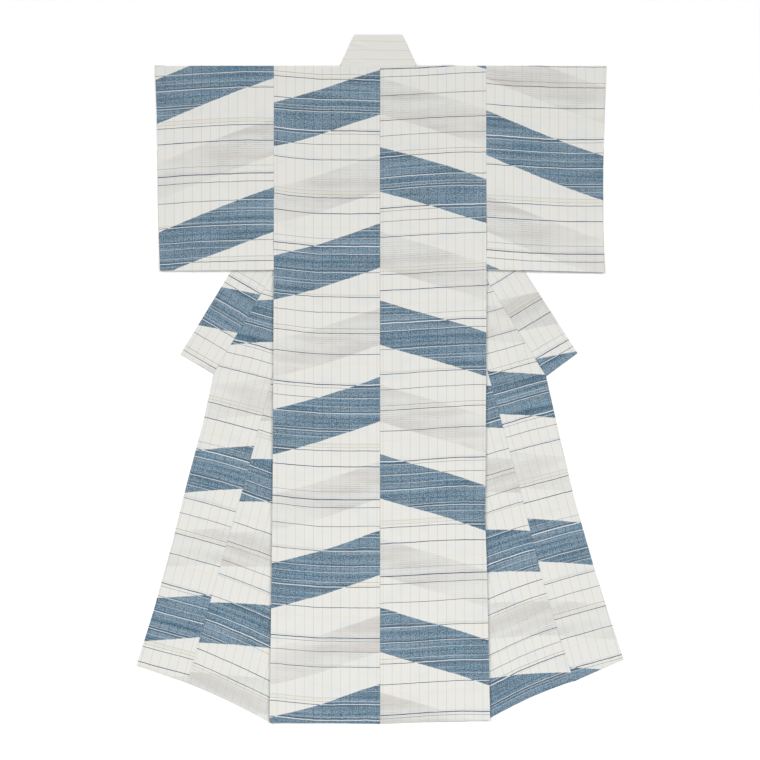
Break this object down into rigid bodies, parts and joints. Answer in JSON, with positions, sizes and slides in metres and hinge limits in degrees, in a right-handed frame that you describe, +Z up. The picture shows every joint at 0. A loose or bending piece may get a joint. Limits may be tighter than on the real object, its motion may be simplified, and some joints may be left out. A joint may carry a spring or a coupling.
{
  "type": "kimono",
  "caption": "Woman's kimono in plain-woven tsumugi silk with a woven kasuri pattern, laid flat with its back up and its fronts folded out beneath.",
  "frame": {"origin": "on the surface the kimono lies on, under the middle of its outline", "axes": "+Z up from the surface, +Y from the hem towards the collar, +X towards the wearer's right"},
  "size_m": [1.3636, 1.929, 0.0063],
  "materials": {
    "patterned_cloth": "matt",
    "collar_cloth": "matt"
  },
  "bodies": {
    "root": {"body_left": "patterned_cloth", "sleeve_left": "patterned_cloth", "overlap_left": "patterned_cloth", "collar_left": "collar_cloth", "body_right": "patterned_cloth", "sleeve_right": "patterned_cloth", "overlap_right": "patterned_cloth", "collar_right": "collar_cloth", "collar_neck": "collar_cloth"}
  },
  "joints": []
}
